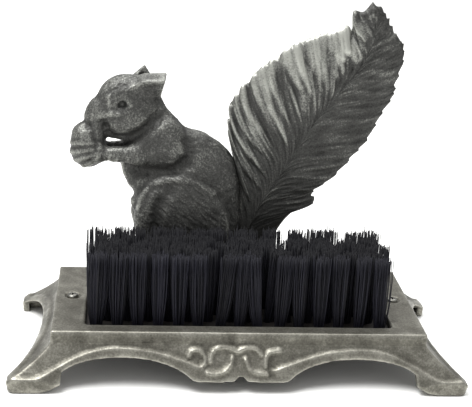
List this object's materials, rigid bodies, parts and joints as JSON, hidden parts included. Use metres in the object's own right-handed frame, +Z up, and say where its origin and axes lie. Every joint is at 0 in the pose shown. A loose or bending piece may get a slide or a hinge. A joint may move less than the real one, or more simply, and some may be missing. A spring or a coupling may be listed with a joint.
{
  "type": "boot brush",
  "caption": "Footed cast iron boot brush with an upright brush set in its top plate and a cast squirrel standing behind it.",
  "frame": {"origin": "centre of the rectangle under the four feet, on the floor", "axes": "+X along the brush, towards the squirrel's tail; +Y from the brush towards the squirrel, so the front is -Y; +Z up"},
  "size_m": [0.305, 0.144, 0.244],
  "materials": {
    "cast_iron_base": "sand-cast grey iron, rubbed bright on the edges",
    "cast_iron_figure": "sand-cast grey iron, darker, with rubbed high spots",
    "screw_steel": "dull zinc-plated steel",
    "brush_wood": "dark oiled beech",
    "anchor_wire": "flat drawn wire",
    "bristle": "extruded nylon filament"
  },
  "bodies": {
    "base": {"base_frame": "cast_iron_base", "brush_block": "brush_wood", "tuft_roots_1": "bristle", "tuft_roots_2": "bristle", "tuft_roots_3": "bristle", "tuft_roots_4": "bristle", "tuft_roots_5": "bristle", "tuft_anchors_1": "anchor_wire", "tuft_anchors_2": "anchor_wire", "tuft_anchors_3": "anchor_wire", "tuft_anchors_4": "anchor_wire", "tuft_anchors_5": "anchor_wire", "brush_screw_left": "screw_steel", "brush_screw_right": "screw_steel", "squirrel_body": "cast_iron_figure", "squirrel_tail": "cast_iron_figure", "tail_dowel_lower": "screw_steel", "tail_dowel_upper": "screw_steel", "mounting_bolt_left": "screw_steel", "mounting_bolt_right": "screw_steel", "bolt_washer_left": "screw_steel", "bolt_washer_right": "screw_steel"},
    "bristles_1": {"bristle_row_1": "bristle"},
    "bristles_2": {"bristle_row_2": "bristle"},
    "bristles_3": {"bristle_row_3": "bristle"},
    "bristles_4": {"bristle_row_4": "bristle"},
    "bristles_5": {"bristle_row_5": "bristle"}
  },
  "joints": [
    {"name": "row_1_flex", "type": "hinge", "parent": "base", "child": "bristles_1", "pos_m": [0, -0.0375, 0.04071], "axis": [1, 0, 0], "range_deg": [-9, 20], "stiffness_Nm_per_rad": 0.15},
    {"name": "row_2_flex", "type": "hinge", "parent": "base", "child": "bristles_2", "pos_m": [0, -0.026, 0.04071], "axis": [1, 0, 0], "range_deg": [-9, 20], "stiffness_Nm_per_rad": 0.15},
    {"name": "row_3_flex", "type": "hinge", "parent": "base", "child": "bristles_3", "pos_m": [0, -0.0145, 0.04071], "axis": [1, 0, 0], "range_deg": [-9, 20], "stiffness_Nm_per_rad": 0.15},
    {"name": "row_4_flex", "type": "hinge", "parent": "base", "child": "bristles_4", "pos_m": [0, -0.003, 0.04071], "axis": [1, 0, 0], "range_deg": [-9, 20], "stiffness_Nm_per_rad": 0.15},
    {"name": "row_5_flex", "type": "hinge", "parent": "base", "child": "bristles_5", "pos_m": [0, 0.0085, 0.04071], "axis": [1, 0, 0], "range_deg": [-9, 20], "stiffness_Nm_per_rad": 0.15}
  ],
  "couplings": [
    {"joint": "row_2_flex", "follows": "row_1_flex", "ratio": 1},
    {"joint": "row_3_flex", "follows": "row_1_flex", "ratio": 1},
    {"joint": "row_4_flex", "follows": "row_1_flex", "ratio": 1},
    {"joint": "row_5_flex", "follows": "row_1_flex", "ratio": 1}
  ]
}
